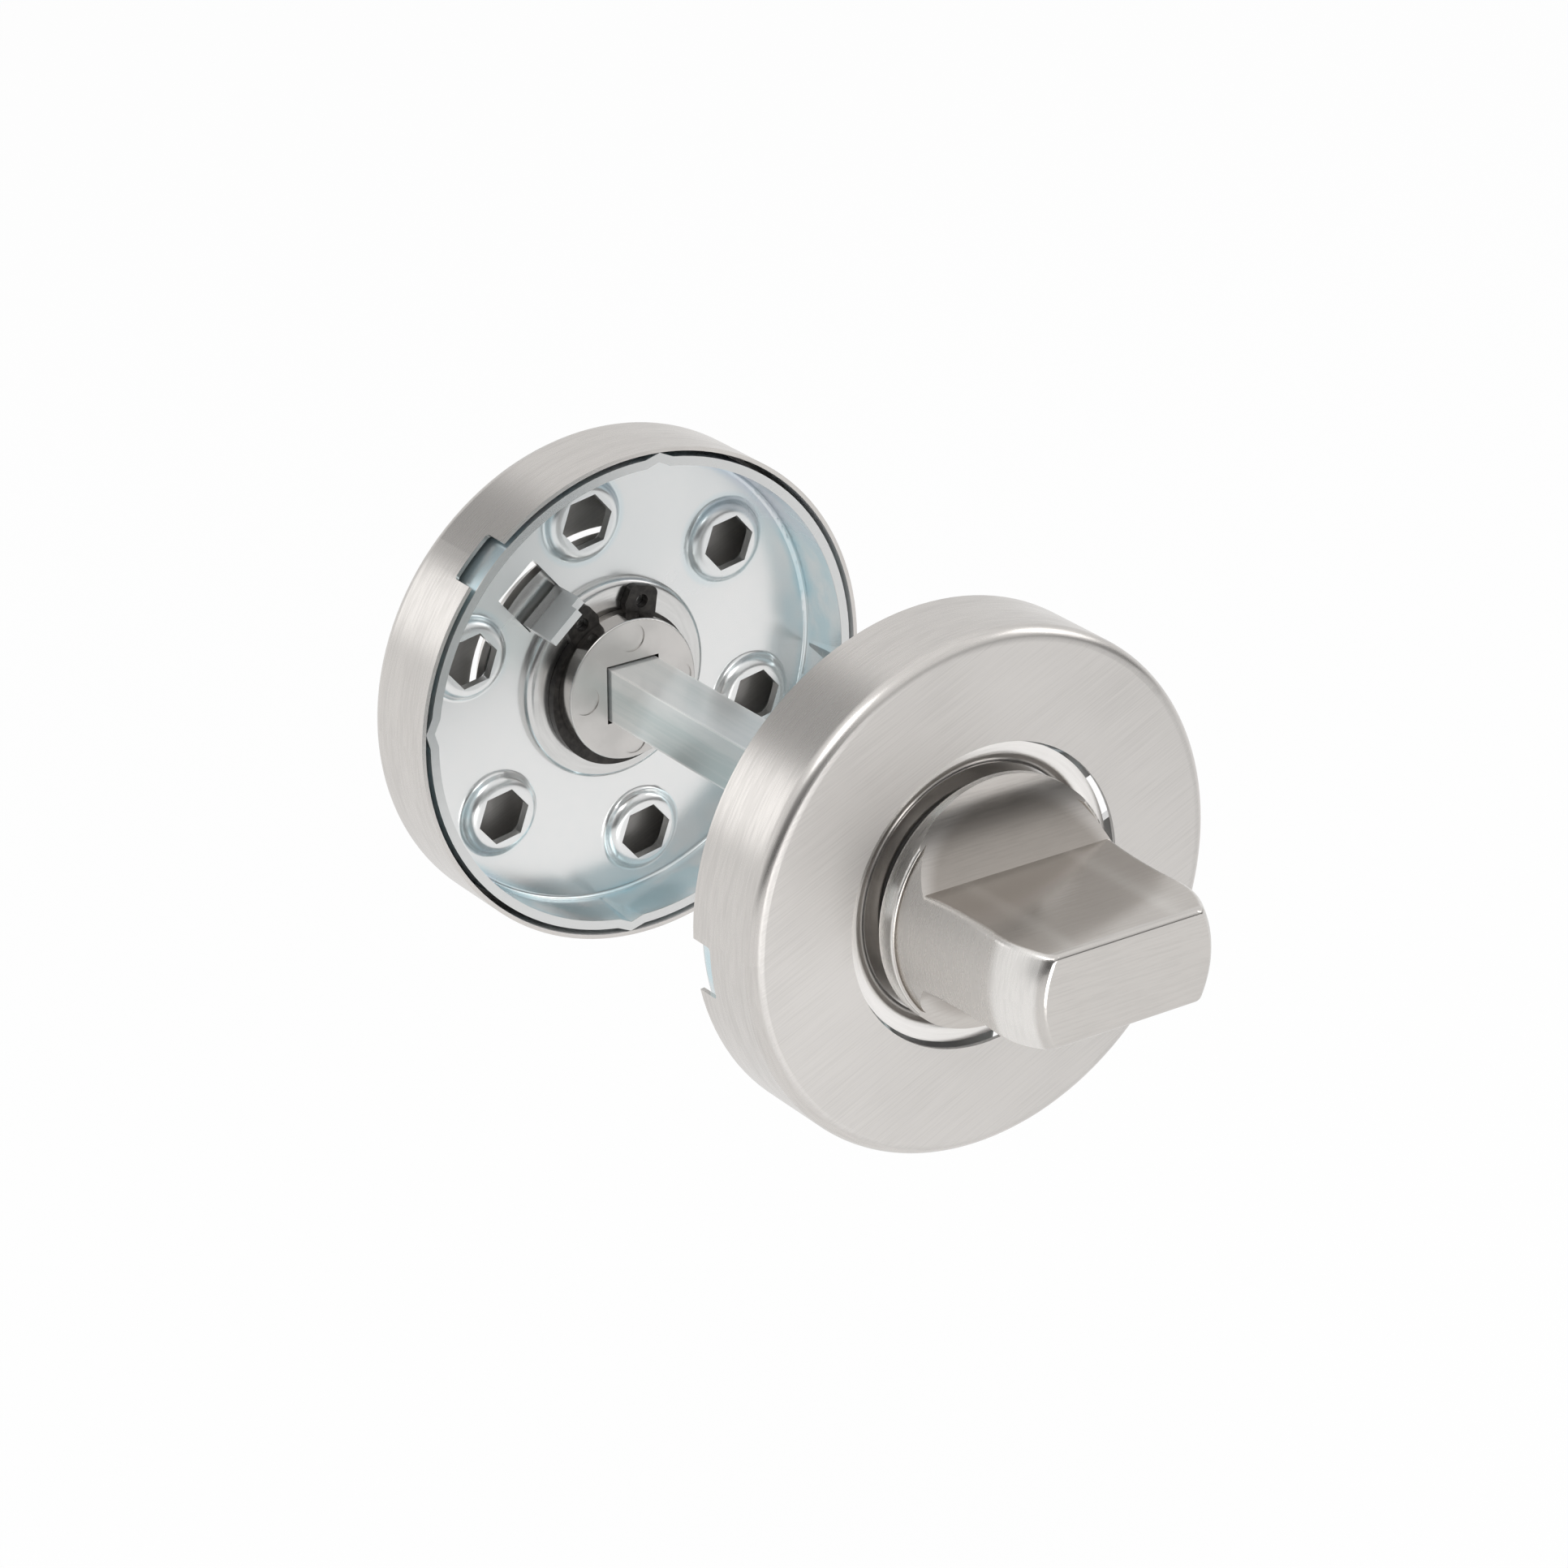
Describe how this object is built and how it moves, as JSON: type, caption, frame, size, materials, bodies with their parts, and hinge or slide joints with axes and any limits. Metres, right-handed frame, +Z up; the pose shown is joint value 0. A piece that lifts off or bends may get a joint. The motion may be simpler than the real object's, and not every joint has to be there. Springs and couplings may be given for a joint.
{
  "type": "bathroom thumb turn lock",
  "caption": "Bathroom door turn: round roses with push-fit covers, a winged thumb turn inside, a coin-slotted release outside, joined by a square spindle.",
  "frame": {"origin": "on the spindle's axis, midway between the two faces of the door", "axes": "+Z up, +Y along the spindle from the thumb turn on the inside towards the release on the outside"},
  "size_m": [0.055, 0.096, 0.055],
  "materials": {
    "cover_steel": "brushed round the skirt, fine straight grain on the face",
    "plate_zinc": "bright zinc plate with a bluish passivation",
    "collar_metal": "satin turned",
    "turn_metal": "satin, polished in the scoops",
    "ring_black": "black phosphated spring steel",
    "washer_plastic": "matt",
    "spindle_zinc": "drawn bar, zinc plated"
  },
  "bodies": {
    "inner_rose": {"inner_cover": "cover_steel", "inner_base_plate": "plate_zinc", "inner_collar": "collar_metal", "inner_friction_washer": "washer_plastic"},
    "turn": {"thumb_turn": "turn_metal", "inner_retaining_ring": "ring_black", "spindle": "spindle_zinc"},
    "outer_rose": {"outer_cover": "cover_steel", "outer_base_plate": "plate_zinc", "outer_collar": "collar_metal", "outer_friction_washer": "washer_plastic"},
    "release": {"release_turn": "turn_metal", "outer_retaining_ring": "ring_black"}
  },
  "joints": [
    {"name": "thumb_turn_hinge", "type": "hinge", "parent": "inner_rose", "child": "turn", "pos_m": [0, -0.025, 0], "axis": [0, -1, 0], "range_deg": [-90, 90]},
    {"name": "outer_rose_slide", "type": "slide", "parent": "inner_rose", "child": "outer_rose", "axis": [0, 1, 0], "range_m": [-0.0035, 0.002]},
    {"name": "release_hinge", "type": "hinge", "parent": "outer_rose", "child": "release", "pos_m": [0, 0.025, 0], "axis": [0, -1, 0], "range_deg": [-90, 90]}
  ],
  "couplings": [
    {"joint": "release_hinge", "follows": "thumb_turn_hinge", "ratio": 1}
  ]
}
